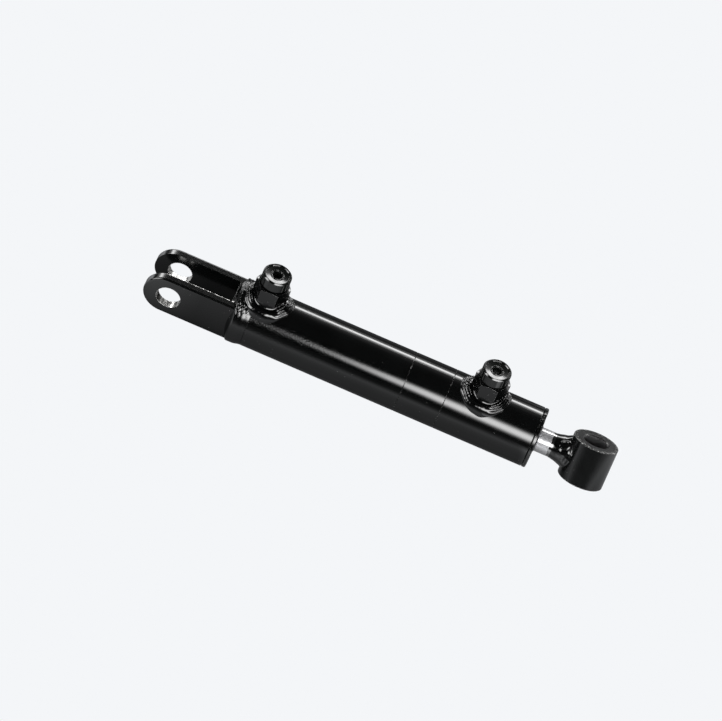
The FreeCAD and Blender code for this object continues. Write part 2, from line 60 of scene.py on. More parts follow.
NODES = frame["nodes"]
MOUNTS = {mount["name"]: mount for mount in frame["record"]["mounts"]}
MM = 0.001

# ---- places read from the frame, in metres ----
TUBE_LOW, TUBE_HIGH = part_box("barrel_tube")
GIRTH_LOW, GIRTH_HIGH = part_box("base_weld")
BASE_BOSS_LOW, BASE_BOSS_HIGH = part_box("base_port_boss")
ROD_BOSS_LOW, ROD_BOSS_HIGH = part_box("rod_port_boss")
EYE_WELD_LOW_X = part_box("rod_eye_weld")[0][0]
EYE_WELD_START = EYE_WELD_LOW_X - 0.6 * MM
TUBE_RADIUS = (TUBE_HIGH[2] - TUBE_LOW[2]) / 2
ROD_RADIUS = (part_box("piston_rod")[1][1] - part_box("piston_rod")[0][1]) / 2
PIN_RADIUS = MOUNTS["clevis_pin"]["dims"]["r_mm"] * MM
EYE_CENTRE = Vector(MOUNTS["rod_eye_pin"]["pos_m"])
EYE_AXIS = Vector(MOUNTS["rod_eye_pin"]["axis"]).normalized()
EYE_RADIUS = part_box("rod_eye")[1][0] - EYE_CENTRE.x
BASE_PORT_X = (BASE_BOSS_LOW[0] + BASE_BOSS_HIGH[0]) / 2
ROD_PORT_X = (ROD_BOSS_LOW[0] + ROD_BOSS_HIGH[0]) / 2
YOKE_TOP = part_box("clevis_yoke")[1][2]
# half the eye's length and half the clevis slot's width, which no box in the frame gives
EYE_HALF = 22.225 * MM
SLOT_HALF = 15.08 * MM


# ---- node-tree helpers ----

def new_material(name):
    """A material with a Principled shader, and its node tree."""
    material = bpy.data.materials.new(name)
    material.use_nodes = True
    tree = material.node_tree
    return material, tree, tree.nodes["Principled BSDF"]


def add(tree, kind, **values):
    """A shader node with its plain properties set."""
    made = tree.nodes.new("ShaderNode" + kind)
    for key, value in values.items():
        setattr(made, key, value)
    return made


def feed(tree, socket, value):
    """Link a socket to an output, or set it to a number or colour."""
    if isinstance(value, bpy.types.NodeSocket):
        tree.links.new(value, socket)
    else:
        socket.default_value = value


def maths(tree, operation, first, second=0.0):
    """One arithmetic node."""
    made = add(tree, "Math", operation=operation)
    feed(tree, made.inputs[0], first)
    feed(tree, made.inputs[1], second)
    return made.outputs[0]


def object_place(tree):
    """Where a shaded point is, in the row frame at rest."""
    return add(tree, "TexCoord").outputs["Object"]


def axes_of(tree, place):
    """The X, Y and Z outputs of a place."""
    split = add(tree, "SeparateXYZ")
    tree.links.new(place, split.inputs["Vector"])
    return split.outputs


def stretched(tree, place, scale):
    """A place with each axis scaled."""
    made = add(tree, "Mapping")
    made.inputs["Scale"].default_value = scale
    tree.links.new(place, made.inputs["Vector"])
    return made.outputs["Vector"]


def wave(tree, place, scale, detail=2.0, roughness=0.5):
    """Noise at a size given in features per metre."""
    made = add(tree, "TexNoise")
    made.inputs["Scale"].default_value = scale
    made.inputs["Detail"].default_value = detail
    made.inputs["Roughness"].default_value = roughness
    tree.links.new(place, made.inputs["Vector"])
    return made.outputs["Fac"]


def cells(tree, place, scale):
    """Distance to the nearest of many scattered points."""
    made = add(tree, "TexVoronoi")
    made.inputs["Scale"].default_value = scale
    tree.links.new(place, made.inputs["Vector"])
    return made.outputs["Distance"]


def spread(tree, source, low, high, start=0.3, end=0.7):
    """A value that runs from low to high as the source runs from start to end, and stops there."""
    made = add(tree, "MapRange")
    feed(tree, made.inputs["From Min"], start)
    feed(tree, made.inputs["From Max"], end)
    feed(tree, made.inputs["To Min"], low)
    feed(tree, made.inputs["To Max"], high)
    tree.links.new(source, made.inputs["Value"])
    return made.outputs["Result"]


def mixed(tree, share, first, second):
    """A colour between two colours."""
    made = add(tree, "Mix", data_type="RGBA")
    feed(tree, made.inputs[0], share)
    feed(tree, made.inputs[6], first)
    feed(tree, made.inputs[7], second)
    return made.outputs[2]


def mixed_value(tree, share, first, second):
    """A number between two numbers."""
    made = add(tree, "Mix", data_type="FLOAT")
    feed(tree, made.inputs[0], share)
    feed(tree, made.inputs[2], first)
    feed(tree, made.inputs[3], second)
    return made.outputs[0]


def bump(tree, height, distance, under=None):
    """A bump whose height runs over a distance in metres."""
    made = add(tree, "Bump")
    made.inputs["Distance"].default_value = distance
    tree.links.new(height, made.inputs["Height"])
    if under:
        tree.links.new(under, made.inputs["Normal"])
    return made.outputs["Normal"]


def edge_round(tree, radius):
    """A normal that turns smoothly over sharp edges."""
    made = add(tree, "Bevel", samples=6)
    made.inputs["Radius"].default_value = radius
    return made.outputs["Normal"]


def edge_mask(tree, round_normal):
    """One along sharp edges and zero on open faces."""
    made = add(tree, "VectorMath", operation="DOT_PRODUCT")
    tree.links.new(round_normal, made.inputs[0])
    tree.links.new(add(tree, "NewGeometry").outputs["Normal"], made.inputs[1])
    return spread(tree, made.outputs["Value"], 1.0, 0.0, 0.86, 0.99)


def off_axis(tree, place, centre, axis):
    """Distance from a line, and the place measured along it."""
    offset = add(tree, "VectorMath", operation="SUBTRACT")
    tree.links.new(place, offset.inputs[0])
    offset.inputs[1].default_value = centre
    along = add(tree, "VectorMath", operation="DOT_PRODUCT")
    tree.links.new(offset.outputs[0], along.inputs[0])
    along.inputs[1].default_value = axis
    length = add(tree, "VectorMath", operation="LENGTH")
    tree.links.new(offset.outputs[0], length.inputs[0])
    square = maths(tree, "POWER", length.outputs["Value"], 2.0)
    share = maths(tree, "POWER", along.outputs["Value"], 2.0)
    return maths(tree, "SQRT", maths(tree, "SUBTRACT", square, share)), along.outputs["Value"]


# ---- materials ----

BLACK = (0.0009, 0.0010, 0.0010)
DULL_STEEL = (0.16, 0.16, 0.155, 1)


def paint_surface(tree, shader, place, base, rough, peel, edge=0.0005, specks=0.6, wear=0.55):
    """Colour, roughness and normal of sprayed enamel: orange peel, dust nibs, scuffs and worn edges."""
    tone = spread(tree, wave(tree, place, 35, 4), 0.0, 1.0)
    nibs = spread(tree, cells(tree, place, 210), specks, 0.0, 0.05, 0.085)
    nib_patch = spread(tree, wave(tree, place, 47, 3), 0.0, 1.0, 0.52, 0.60)
    nib_share = maths(tree, "MULTIPLY", nibs, nib_patch)
    dark = tuple(0.7 * part for part in base)
    light = tuple(1.3 * part for part in base)
    colour = mixed(tree, tone, (*dark, 1), (*light, 1))
    colour = mixed(tree, nib_share, colour, DULL_STEEL)
    scuffs = spread(tree, wave(tree, stretched(tree, place, (0.25, 1, 1)), 900, 3), 0.0, 0.06, 0.62, 0.75)
    roughness = maths(tree, "ADD", spread(tree, wave(tree, place, 160, 3), rough, rough + 0.05), scuffs)
    height = maths(tree, "ADD", wave(tree, place, 330, 2), maths(tree, "MULTIPLY", nib_share, 1.5))
    if edge:
        soft = edge_round(tree, edge)
        worn = edge_mask(tree, soft)
        chips = spread(tree, wave(tree, place, 700, 4), 0.0, wear, 0.55 - 0.2 * wear, 0.7 - 0.2 * wear)
        colour = mixed(tree, maths(tree, "MULTIPLY", worn, chips), colour, DULL_STEEL)
        normal = bump(tree, height, peel, soft)
    else:
        normal = bump(tree, height, peel)
    shader.inputs["IOR"].default_value = 1.45
    return colour, roughness, normal


def gloss_paint(name, rough=0.07, peel=0.000010, edge=0.0005):
    """Sprayed gloss black enamel."""
    material, tree, shader = new_material(name)
    place = object_place(tree)
    colour, roughness, normal = paint_surface(tree, shader, place, BLACK, rough, peel, edge)
    tree.links.new(colour, shader.inputs["Base Color"])
    tree.links.new(roughness, shader.inputs["Roughness"])
    tree.links.new(normal, shader.inputs["Normal"])
    return material


# the barrel is fully heat-marked before the first place and not at all past the second
HEATED_X = (0.115, 0.20)
# the pits are deepest on the front, by place across the barrel
PITTED_Y = (-0.020, -0.015)


def tube_paint():
    """The barrel's enamel: rougher and pitted towards the clevis, where it was heated."""
    material, tree, shader = new_material("barrel_enamel")
    place = object_place(tree)
    colour, roughness, normal = paint_surface(tree, shader, place, BLACK, 0.065, 0.000008, 0.0003)
    axes = axes_of(tree, place)
    heated = spread(tree, axes["X"], 1.0, 0.0, *HEATED_X)
    front = spread(tree, axes["Y"], 1.0, 0.25, *PITTED_Y)
    pits = maths(tree, "MULTIPLY", maths(tree, "MULTIPLY", heated, front), wave(tree, place, 600, 1))
    rough = maths(tree, "ADD", roughness, maths(tree, "MULTIPLY", heated, 0.02))
    tree.links.new(colour, shader.inputs["Base Color"])
    tree.links.new(rough, shader.inputs["Roughness"])
    tree.links.new(bump(tree, pits, 0.00011, normal), shader.inputs["Normal"])
    return material


def yoke_paint():
    """The yoke's enamel, with the pin bores reamed bare and a bare burr on the near ear's inner edge."""
    material, tree, shader = new_material("yoke_enamel")
    place = object_place(tree)
    colour, roughness, normal = paint_surface(tree, shader, place, BLACK, 0.10, 0.000012, wear=0.2)
    axes = axes_of(tree, place)
    from_slot = maths(tree, "ABSOLUTE", maths(tree, "ADD", axes["Y"], SLOT_HALF))
    by_slot = spread(tree, from_slot, 1.0, 0.0, 0.0004, 0.0009)
    by_top = spread(tree, axes["Z"], 0.0, 1.0, YOKE_TOP - 0.0009, YOKE_TOP - 0.0004)
    nicks = spread(tree, wave(tree, place, 420, 4, 0.7), 0.0, 1.0, 0.36, 0.52)
    burr = maths(tree, "MULTIPLY", maths(tree, "MULTIPLY", by_slot, by_top), nicks)
    away, _ = off_axis(tree, place, (0, 0, 0), (0, 1, 0))
    wander = maths(tree, "MULTIPLY", wave(tree, place, 500, 3), 0.00035)
    bored = spread(tree, maths(tree, "SUBTRACT", away, wander), 1.0, 0.0, PIN_RADIUS - 0.0001,
                   PIN_RADIUS + 0.0001)
    bare = maths(tree, "MAXIMUM", bored, burr)
    streaks = wave(tree, stretched(tree, place, (-1, 0.03, 1)), 260, 3, 0.55)
    steel = mixed(tree, spread(tree, streaks, 0.0, 1.0, 0.38, 0.62), DULL_STEEL, (0.86, 0.85, 0.83, 1))
    tree.links.new(mixed(tree, bare, colour, steel), shader.inputs["Base Color"])
    tree.links.new(bare, shader.inputs["Metallic"])
    tree.links.new(mixed_value(tree, bare, roughness, 0.34), shader.inputs["Roughness"])
    grooves = maths(tree, "MULTIPLY", bare, streaks)
    tree.links.new(bump(tree, grooves, 0.00002, normal), shader.inputs["Normal"])
    return material


PLUG_RING_PITCH = 0.0014


def plug_finish():
    """Turned steel plug with a thin black finish and fine turning rings."""
    material, tree, shader = new_material("plug_black_finish")
    place = object_place(tree)
    base = (0.0022, 0.0025, 0.0023)
    colour, roughness, normal = paint_surface(tree, shader, place, base, 0.06, 0.000008, 0.0004,
                                              specks=0.3, wear=0.1)
    near, _ = off_axis(tree, place, (BASE_PORT_X, 0, 0), (0, 0, 1))
    far, _ = off_axis(tree, place, (ROD_PORT_X, 0, 0), (0, 0, 1))
    away = maths(tree, "MINIMUM", near, far)
    rings = maths(tree, "SINE", maths(tree, "MULTIPLY", away, 2 * math.pi / PLUG_RING_PITCH))
    tree.links.new(colour, shader.inputs["Base Color"])
    tree.links.new(roughness, shader.inputs["Roughness"])
    tree.links.new(bump(tree, rings, 0.000008, normal), shader.inputs["Normal"])
    return material


def eye_finish():
    """Charcoal paint: satin on the cross tube, thin over the sawn end faces and in the bore."""
    material, tree, shader = new_material("eye_charcoal_paint")
    place = object_place(tree)
    base = (0.0022, 0.0024, 0.0024)
    colour, roughness, normal = paint_surface(tree, shader, place, base, 0.09, 0.00002, 0.0005,
                                              wear=0.8)
    away, along = off_axis(tree, place, EYE_CENTRE, EYE_AXIS)
    sawn = spread(tree, maths(tree, "ABSOLUTE", along), 0.0, 1.0, EYE_HALF - 0.0012, EYE_HALF - 0.0004)
    inside = spread(tree, away, 1.0, 0.0, PIN_RADIUS + 0.0004, PIN_RADIUS + 0.0009)
    grit = wave(tree, place, 1300, 5, 0.75)
    blotch = maths(tree, "ADD", wave(tree, place, 300, 4, 0.7), maths(tree, "MULTIPLY", grit, 0.6))
    dry = mixed(tree, spread(tree, blotch, 0.0, 1.0, 0.62, 0.98), (0.0008, 0.0008, 0.0008, 1),
                (0.018, 0.018, 0.0175, 1))
    rim = spread(tree, away, 0.0, 1.0, EYE_RADIUS - 0.0042, EYE_RADIUS - 0.0012)
    flecks = spread(tree, wave(tree, place, 620, 4, 0.7), 0.0, 1.0, 0.53, 0.60)
    bright = maths(tree, "MULTIPLY", maths(tree, "MULTIPLY", sawn, rim), flecks)
    colour = mixed(tree, sawn, colour, dry)
    colour = mixed(tree, bright, colour, (0.26, 0.26, 0.255, 1))
    colour = mixed(tree, inside, colour, (0.017, 0.017, 0.0175, 1))
    matte = mixed_value(tree, inside, mixed_value(tree, sawn, roughness, 0.18), 0.50)
    tree.links.new(colour, shader.inputs["Base Color"])
    tree.links.new(matte, shader.inputs["Roughness"])
    tree.links.new(bump(tree, maths(tree, "MULTIPLY", sawn, grit), 0.00018, normal),
                   shader.inputs["Normal"])
    return material


MASK_LINE = 0.4078


def rod_finish():
    """Ground hard chrome, masked and painted black beyond a line near the eye."""
    material, tree, shader = new_material("hard_chrome")
    place = object_place(tree)
    axes = axes_of(tree, place)
    ragged = maths(tree, "MULTIPLY", wave(tree, place, 260, 3), 0.0009)
    painted = spread(tree, maths(tree, "ADD", axes["X"], ragged), 0.0, 1.0, MASK_LINE + 0.0003,
                     MASK_LINE + 0.0006)
    grind = wave(tree, stretched(tree, place, (1, 0.05, 0.05)), 2600, 4, 0.7)
    steel = mixed(tree, spread(tree, grind, 0.0, 1.0), (0.22, 0.22, 0.225, 1), (0.30, 0.30, 0.31, 1))
    tree.links.new(mixed(tree, painted, steel, (0.003, 0.003, 0.003, 1)), shader.inputs["Base Color"])
    tree.links.new(maths(tree, "SUBTRACT", 1.0, painted), shader.inputs["Metallic"])
    chrome_rough = spread(tree, wave(tree, place, 140, 3), 0.56, 0.66)
    tree.links.new(mixed_value(tree, painted, chrome_rough, 0.12), shader.inputs["Roughness"])
    shader.inputs["Coat Weight"].default_value = 1.0
    shader.inputs["Coat Roughness"].default_value = 0.04
    shader.inputs["Coat IOR"].default_value = 1.9
    tree.links.new(bump(tree, grind, 0.000004, edge_round(tree, 0.0003)), shader.inputs["Normal"])
    return material


def machined(name, dark, light, rough, pitch):
    """Turned metal: tool rings round the barrel's axis, light stains and soft edges."""
    material, tree, shader = new_material(name)
    place = object_place(tree)
    axes = axes_of(tree, place)
    tone = wave(tree, place, 240, 5, 0.65)
    tree.links.new(mixed(tree, spread(tree, tone, 0.0, 1.0), (*dark, 1), (*light, 1)),
                   shader.inputs["Base Color"])
    shader.inputs["Metallic"].default_value = 1.0
    tree.links.new(spread(tree, tone, rough, rough + 0.18), shader.inputs["Roughness"])
    rings = maths(tree, "SINE", maths(tree, "MULTIPLY", axes["X"], 2 * math.pi / pitch))
    height = maths(tree, "ADD", maths(tree, "MULTIPLY", rings, 0.5), wave(tree, place, 900, 3))
    tree.links.new(bump(tree, height, 0.00001, edge_round(tree, 0.0003)), shader.inputs["Normal"])
    return material


def moulded(name, dark, light, rough):
    """Moulded or turned plastic and rubber, with a fine grain and faint bloom."""
    material, tree, shader = new_material(name)
    place = object_place(tree)
    bloom = wave(tree, place, 300, 4, 0.6)
    tree.links.new(mixed(tree, spread(tree, bloom, 0.0, 1.0), (*dark, 1), (*light, 1)),
                   shader.inputs["Base Color"])
    tree.links.new(spread(tree, bloom, rough, rough + 0.15), shader.inputs["Roughness"])
    shader.inputs["IOR"].default_value = 1.5
    tree.links.new(bump(tree, wave(tree, place, 2200, 3), 0.00001, edge_round(tree, 0.0002)),
                   shader.inputs["Normal"])
    return material


def dress(node, material):
    """Give a CAD node one material."""
    if not NODES[node].material_slots:
        NODES[node].data.materials.append(material)
    for slot in NODES[node].material_slots:
        slot.material = material


WELD_ENAMEL = gloss_paint("weld_enamel", rough=0.08, peel=0.00003, edge=0.0)
FINISHES = {
    "gloss_black_paint": gloss_paint("gloss_black_paint"),
    "plug_black_finish": plug_finish(),
    "eye_charcoal_paint": eye_finish(),
    "hard_chrome": rod_finish(),
    "piston_iron": machined("piston_iron", (0.16, 0.16, 0.165), (0.30, 0.30, 0.31), 0.32, 0.0005),
    "plated_steel": machined("plated_steel", (0.50, 0.47, 0.36), (0.72, 0.70, 0.62), 0.22, 0.0008),
    "nitrile_rubber": moulded("nitrile_rubber", (0.008, 0.008, 0.008), (0.02, 0.02, 0.02), 0.45),
    "polyurethane": moulded("polyurethane", (0.02, 0.021, 0.023), (0.04, 0.041, 0.045), 0.3),
    "bearing_plastic": moulded("bearing_plastic", (0.42, 0.29, 0.14), (0.60, 0.45, 0.26), 0.35),
}
SLOT_OF = {part["node"]: part["material_slot"] for part in frame["record"]["subparts"]}
for node_name in NODES:
    dress(node_name, FINISHES[SLOT_OF[node_name]])
dress("barrel_tube", tube_paint())
dress("clevis_yoke", yoke_paint())


# ---- weld beads ----

def weld_piece(name, points, faces, body, node):
    """A closed smooth mesh that stands for a weld's CAD node."""
    mesh = bpy.data.meshes.new(name)
    mesh.from_pydata([tuple(point) for point in points], [], faces)
    mesh.validate()
    mesh.update()
    for face in mesh.polygons:
        face.use_smooth = True
    mesh.materials.append(WELD_ENAMEL)
    piece = bpy.data.objects.new(name, mesh)
    bpy.context.scene.collection.objects.link(piece)
    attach(piece, body)
    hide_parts(node)


def ring_faces(rings, spokes, flip=False):
    """Quads that join closed rings of points, the last ring back to the first; flip turns them over."""
    faces = []
    for ring in range(rings):
        after = (ring + 1) % rings
        for spoke in range(spokes):
            side = (spoke + 1) % spokes
            quad = (ring * spokes + spoke, ring * spokes + side, after * spokes + side,
                    after * spokes + spoke)
            faces.append(quad[::-1] if flip else quad)
    return faces


def bell(value, centre, width):
    """A bell curve, one at its centre."""
    return math.exp(-((value - centre) / width) ** 2)


def smooth_step(value, low, high):
    """Zero below low, one above high, and an even slope between."""
    share = min(max((value - low) / (high - low), 0.0), 1.0)
    return share * share * (3 - 2 * share)


def turn_between(angle, anchors):
    """A value round a circle, eased between anchors given as degrees and value."""
    degrees = math.degrees(angle) % 360
    count = len(anchors)
    for number in range(count):
        low, low_value = anchors[number]
        high, high_value = anchors[(number + 1) % count]
        if high <= low:
            high += 360
        here = degrees if degrees >= low else degrees + 360
        if low <= here <= high:
            share = smooth_step(here, low, high)
            return low_value + (high_value - low_value) * share
    return anchors[0][1]


def roughness_at(point, size, seed):
    """Perlin noise at a feature size in metres."""
    return noise.noise(Vector(point) / size + Vector((seed, seed * 0.7, -seed)))


# port welds: the neck they climb, their mesh, and their heights over the barrel's axis
NECK_RADIUS = 14.0 * MM
WELD_RINGS = 56
WELD_SPOKES = 360
RING_TOP = 31.4 * MM
CLIMB_TOP = 37.4 * MM
# height of the crest over the tube, and where the smooth front starts to roll over
WELD_CREST = 4.3 * MM
RING_CREST_SHARE = 0.45


def near_side(angle, smooth_turns):
    """One at the front of a port and zero from its sides back, by angle from the way to the eye."""
    from_front = math.remainder(math.degrees(angle) + 90, 360)
    whole, gone = smooth_turns[1] if from_front > 0 else smooth_turns[0]
    return 1 - smooth_step(abs(from_front), whole, gone)


def port_weld_height(share, angle, climb, near, ripples, seed):
    """Height of a rippled port weld over the tube, from the neck (0) to the toe (1), in metres."""
    climbing = climb * max(0.0, 1 - share / 0.34) ** 1.9
    span = min(max((share - 0.10) / 0.90, 0.0), 1.0)
    crest = WELD_CREST * math.sin(math.pi * span ** 0.92) ** 0.62
    drift = 0.05 * math.sin(2 * angle + seed) + 0.03 * math.sin(5 * angle - seed)
    grooves = 1.5 * bell(share, 0.44 + drift, 0.055) + 1.1 * bell(share, 0.66 + drift, 0.05)
    grooves += 0.7 * bell(share, 0.84 + drift / 2, 0.04)
    grooves *= MM * (1 - near)
    turned = angle + 0.10 * math.sin(3 * angle + seed) + 0.05 * math.sin(11 * angle - seed)
    chevron = 1.3 * math.sin(2 * math.pi * (share - 0.1))
    scallop = abs(math.sin(ripples * turned / 2 + chevron))
    patchy = 0.5 + 0.5 * math.sin(4 * angle + 2 * seed + 5 * share)
    depth = 0.5 * MM * patchy * (1 - near)
    ripple = depth * (scallop - 0.5) * math.sin(math.pi * min(share * 1.05, 1.0)) ** 0.6
    return math.hypot(climbing, crest) - grooves + ripple


def ring_height(share, toe_height):
    """Height of a port weld's front: level by the neck, then rolled over steeply to the toe."""
    if share > RING_CREST_SHARE:
        over = (share - RING_CREST_SHARE) / (1 - RING_CREST_SHARE)
        return toe_height + (RING_TOP - toe_height) * math.sqrt(1 - over ** 2)
    return RING_TOP + (CLIMB_TOP - RING_TOP) * max(0.0, 1 - share / 0.30) ** 2.2


def port_weld(name, node, centre_x, reach, smooth_turns, ripples, seed):
    """Two rippled weld passes round a port's neck, draped over the tube and smooth at the front."""
    rings = []
    for step in range(WELD_RINGS):
        share = step / (WELD_RINGS - 1)
        row = []
        for spoke in range(WELD_SPOKES):
            angle = 2 * math.pi * spoke / WELD_SPOKES
            outer = turn_between(angle, reach) * MM
            outer += 0.7 * MM * roughness_at((math.cos(angle), math.sin(angle), 0), 0.35, seed)
            radius = NECK_RADIUS - 0.2 * MM + (outer - NECK_RADIUS) * share
            x = centre_x + radius * math.cos(angle)
            y = radius * math.sin(angle)
            tube = math.sqrt(TUBE_RADIUS ** 2 - y ** 2)
            climb = CLIMB_TOP - math.sqrt(TUBE_RADIUS ** 2 - (NECK_RADIUS * math.sin(angle)) ** 2)
            near = near_side(angle, smooth_turns)
            lift = port_weld_height(share, angle, climb, near, ripples, seed)
            toe_height = math.sqrt(TUBE_RADIUS ** 2 - (outer * math.sin(angle)) ** 2)
            ring = ring_height(share, toe_height) - tube
            lift += (ring - lift) * near
            fade = math.sin(math.pi * share) ** 0.5 * (1 - 0.45 * near)
            lift += 0.35 * MM * roughness_at((x, y, tube), 2.4 * MM, seed) * fade
            lift += 0.45 * MM * roughness_at((x, y, tube), 6 * MM, seed + 3) * fade
            row.append(Vector((x, y, tube + lift)))
        rings.append(row)
    under = []
    for row in (rings[-1], rings[0]):
        under.append([Vector((p.x, p.y, math.sqrt(TUBE_RADIUS ** 2 - p.y ** 2) - 0.8 * MM)) for p in row])
    points = [point for row in rings + under for point in row]
    faces = ring_faces(len(rings) + 2, WELD_SPOKES, flip=True)
    weld_piece(name, points, faces, "barrel", node)


def girth_profile(x, open_bead):
    """Radius of the girth weld before its ripples, in metres."""
    toe = GIRTH_LOW[0] - 1.3 * MM * open_bead
    rise = smooth_step(x, toe - 4.5 * MM, toe + 6.8 * MM)
    foot = 16.0 * MM
    crown = GIRTH_HIGH[2] - 0.2 * MM
    fall = smooth_step(x, TUBE_LOW[0] - 7.5 * MM, TUBE_LOW[0] + 0.8 * MM)
    return foot + (crown - foot) * rise - (crown - TUBE_RADIUS) * fall


# the open passes: place along the barrel, height and half width, in mm
GIRTH_PASSES = ((62.6, 1.3, 1.7), (66.6, 1.3, 1.8), (70.9, 1.2, 1.8), (75.2, 1.0, 1.8), (79.6, 0.7, 1.7))
# the weld's inside steps from the base cap down to the yoke's end
GIRTH_CAP_RADIUS = 28.7 * MM
GIRTH_YOKE_RADIUS = 15.0 * MM
GIRTH_STEP_X = 68.0 * MM


def girth_weld():
    """Girth weld from the square yoke to the tube: open passes on top, dressed smooth at the sides."""
    start = GIRTH_LOW[0] - 1.4 * MM
    end = GIRTH_HIGH[0] + 0.3 * MM
    columns = 96
    spokes = 420
    points = []
    for column in range(columns):
        x = start + (end - start) * column / (columns - 1)
        for spoke in range(spokes):
            angle = 2 * math.pi * spoke / spokes
            from_top = abs(math.remainder(math.degrees(angle), 360))
            open_bead = 1 - smooth_step(from_top, 34, 62)
            radius = girth_profile(x, open_bead)
            wander = 1.1 * MM * roughness_at((math.cos(angle), math.sin(angle), 1), 0.22, 5)
            ridge = sum(height * MM * bell(x, middle * MM + wander, width * MM)
                        for middle, height, width in GIRTH_PASSES)
            chevron = abs(math.sin(angle * 22 + 1.5 * math.sin(x / (0.68 * MM))))
            seat = bell(x, (start + end) / 2, 9.5 * MM)
            radius += (ridge - 1.2 * MM * seat) * open_bead
            radius += 0.42 * MM * (chevron - 0.5) * open_bead * seat
            place = (x, radius * math.sin(angle), radius * math.cos(angle))
            radius += 0.15 * MM * roughness_at(place, 3.6 * MM, 9) * open_bead * seat
            radius += 0.35 * MM * roughness_at(place, 11 * MM, 2) * seat
            points.append(Vector((x, radius * math.sin(angle), radius * math.cos(angle))))
    inner = ((end, GIRTH_CAP_RADIUS), (GIRTH_STEP_X + 0.1 * MM, GIRTH_CAP_RADIUS),
             (GIRTH_STEP_X, GIRTH_YOKE_RADIUS), (start, GIRTH_YOKE_RADIUS))
    for x, radius in inner:
        for spoke in range(spokes):
            angle = 2 * math.pi * spoke / spokes
            points.append(Vector((x, radius * math.sin(angle), radius * math.cos(angle))))
    faces = ring_faces(columns + 4, spokes)
    weld_piece("girth_weld_bead", points, faces, "barrel", "base_weld")


# how far the eye weld stands off the rod: share of the way to the eye, then mm along and across the eye
FLARE = ((0.0, 0.25, 0.15), (0.22, 2.0, 1.4), (0.44, 5.9, 2.9), (0.66, 8.9, 4.9), (0.9, 9.6, 5.6))


def flare_growth(share, column):
    """How far the eye weld stands off the rod, in metres, eased between its sections."""
    for (low, *low_values), (high, *high_values) in zip(FLARE, FLARE[1:]):
        if share <= high:
            part = max(0.0, (share - low) / (high - low))
            eased = part * part * (3 - 2 * part) * 0.35 + part * 0.65
            return (low_values[column] + (high_values[column] - low_values[column]) * eased) * MM
    return FLARE[-1][column + 1] * MM


CRATER_TURN = math.radians(-51)
CRATER_X = 421.6 * MM
CRATER_RADIUS = 4.4 * MM


def eye_weld_point(x, turn, side, upright):
    """A point of the eye weld's skin at a place along the rod and a turn round it."""
    share = (x - EYE_WELD_LOW_X) / (EYE_CENTRE.x - EYE_WELD_LOW_X)
    wide = ROD_RADIUS + flare_growth(share, 0)
    tall = ROD_RADIUS + flare_growth(share, 1)
    offset = upright * (wide * math.cos(turn)) + side * (tall * math.sin(turn))
    raw = Vector((x, 0, 0)) + offset
    outward = offset.normalized()
    swell = smooth_step(share, 0.05, 0.3)
    ripple = 0.22 * MM * math.sin(x / (0.62 * MM) + 2.5 * math.sin(turn * 2 + 1))
    ripple *= swell * bell(share, 0.52, 0.12)
    away = math.hypot(x - CRATER_X, ROD_RADIUS * 1.2 * math.remainder(turn - CRATER_TURN, 2 * math.pi))
    lump = 0.7 * MM * roughness_at(raw, 5.5 * MM, 21) * swell * (1 - 0.85 * bell(away, 0, 7 * MM))
    crater = 0.7 * MM * bell(away, CRATER_RADIUS, 0.8 * MM) - 0.5 * MM * bell(away, 0, 3.4 * MM)
    return raw + outward * (ripple + lump + crater)


def inside_eye(point):
    """True where a point lies inside the cross tube's round side."""
    offset = point - EYE_CENTRE
    return (offset - EYE_AXIS * offset.dot(EYE_AXIS)).length < EYE_RADIUS - 0.4 * MM


def weld_end(turn, side):
    """Where along the rod the eye weld's skin meets the cross tube, found by halving."""
    low, high = EYE_WELD_START, EYE_CENTRE.x
    for _ in range(26):
        middle = (low + high) / 2
        if inside_eye(eye_weld_point(middle, turn, side, EYE_AXIS)):
            high = middle
        else:
            low = middle
    return high


def eye_weld():
    """Fillet weld that flares from the rod on to the cross tube, with its stop crater."""
    side = EYE_AXIS.cross(Vector((1, 0, 0))).normalized()
    rows = 64
    spokes = 240
    start = EYE_WELD_START
    ends = [weld_end(2 * math.pi * spoke / spokes, side) for spoke in range(spokes)]
    points = []
    for row in range(rows):
        for spoke in range(spokes):
            turn = 2 * math.pi * spoke / spokes
            x = start + (ends[spoke] - start) * row / (rows - 1)
            points.append(eye_weld_point(x, turn, side, EYE_AXIS))
    inner = ROD_RADIUS - 0.1 * MM
    for x in (ends, [start] * spokes):
        for spoke in range(spokes):
            turn = 2 * math.pi * spoke / spokes
            offset = EYE_AXIS * (inner * math.cos(turn)) + side * (inner * math.sin(turn))
            points.append(Vector((x[spoke], 0, 0)) + offset)
    faces = ring_faces(rows + 2, spokes)
    weld_piece("rod_eye_fillet", points, faces, "rod", "rod_eye_weld")


# how far each port weld reaches from the port's axis, by angle from the way to the eye, in mm
BASE_REACH = ((0, 28.5), (60, 26.0), (120, 25.5), (180, 25.0), (230, 25.0), (270, 24.6), (320, 25.6))
ROD_REACH = ((0, 25.5), (60, 25.0), (120, 26.0), (180, 28.5), (230, 26.5), (270, 24.6), (320, 24.8))
# where each port weld is smooth, left and right of its front: degrees where that is whole and gone
BASE_SMOOTH = ((16, 64), (24, 58))
ROD_SMOOTH = ((14, 60), (8, 38))
port_weld("base_port_bead", "base_port_weld", BASE_PORT_X, BASE_REACH, BASE_SMOOTH, 46, 1.3)
port_weld("rod_port_bead", "rod_port_weld", ROD_PORT_X, ROD_REACH, ROD_SMOOTH, 50, 7.7)
girth_weld()
eye_weld()


# ---- stage: floor, lights and camera ----

def emission(name):
    """A glowing material for the stage, its node tree and its Emission node."""
    material = bpy.data.materials.new(name)
    material.use_nodes = True
    tree = material.node_tree
    tree.nodes.clear()
    glow = add(tree, "Emission")
    output = add(tree, "OutputMaterial")
    tree.links.new(glow.outputs["Emission"], output.inputs["Surface"])
    return material, tree, glow


